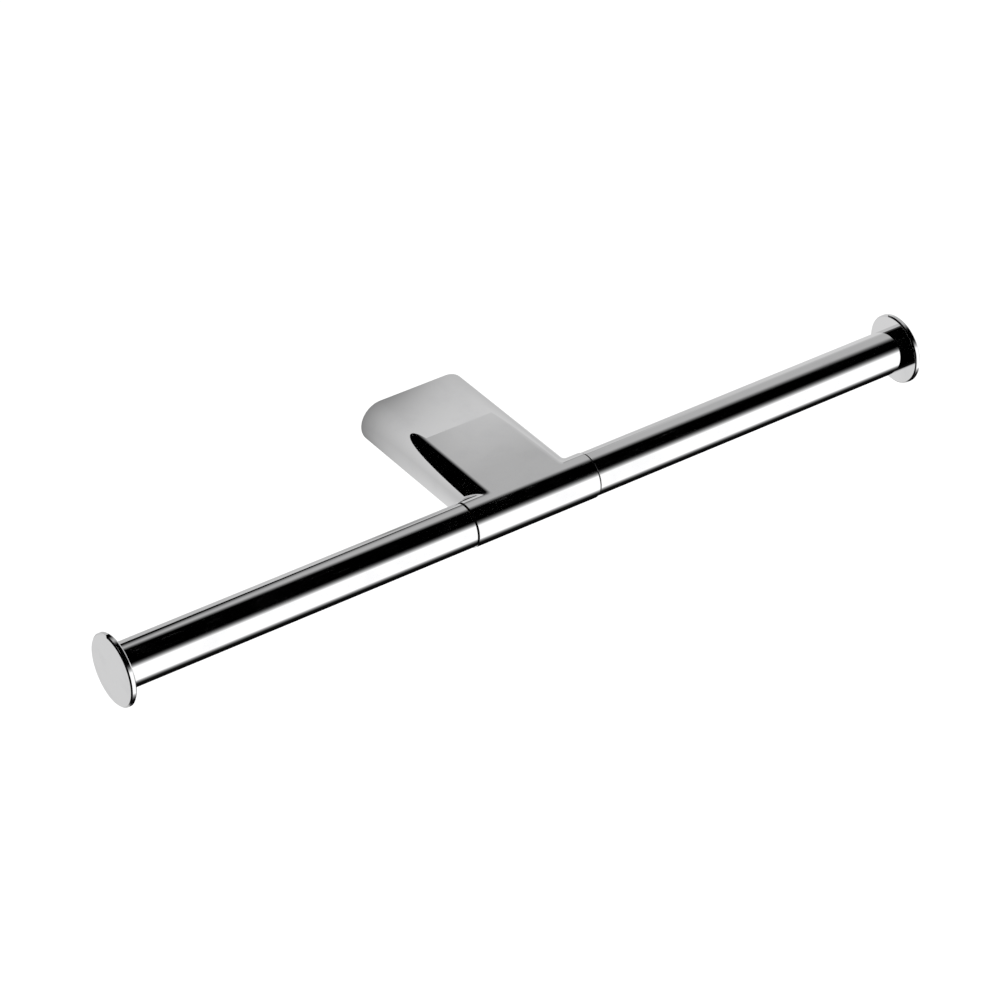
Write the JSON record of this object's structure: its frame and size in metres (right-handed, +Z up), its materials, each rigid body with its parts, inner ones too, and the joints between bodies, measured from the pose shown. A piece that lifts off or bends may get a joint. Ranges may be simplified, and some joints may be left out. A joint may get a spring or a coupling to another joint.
{
  "type": "double toilet roll holder",
  "caption": "Wall-mounted chrome bar on one flat bracket, with a round arm to each side that ends in a thin disc and holds a toilet roll.",
  "frame": {"origin": "centre of the bracket's wall face, which is also the middle of the line between the two wall screws", "axes": "+X along the roll arms to the right as seen from the front, +Y into the wall, +Z up; the front faces -Y"},
  "size_m": [0.328, 0.0824, 0.0258],
  "materials": {
    "chrome_casting": "polished chrome plate on a zinc casting",
    "chrome_tube": "polished chrome plate on brass tube",
    "chrome_disc": "polished chrome plate on turned brass",
    "plate_steel": "bright zinc-plated steel",
    "fastener_steel": "black-oxide steel",
    "insert_brass": "turned brass"
  },
  "bodies": {
    "root": {"bracket_body": "chrome_casting", "wall_plate": "plate_steel", "set_screw": "fastener_steel", "left_arm_stud": "fastener_steel", "right_arm_stud": "fastener_steel", "left_tube_insert": "insert_brass", "right_tube_insert": "insert_brass", "left_arm_tube": "chrome_tube", "right_arm_tube": "chrome_tube", "left_end_disc": "chrome_disc", "right_end_disc": "chrome_disc"}
  },
  "joints": []
}
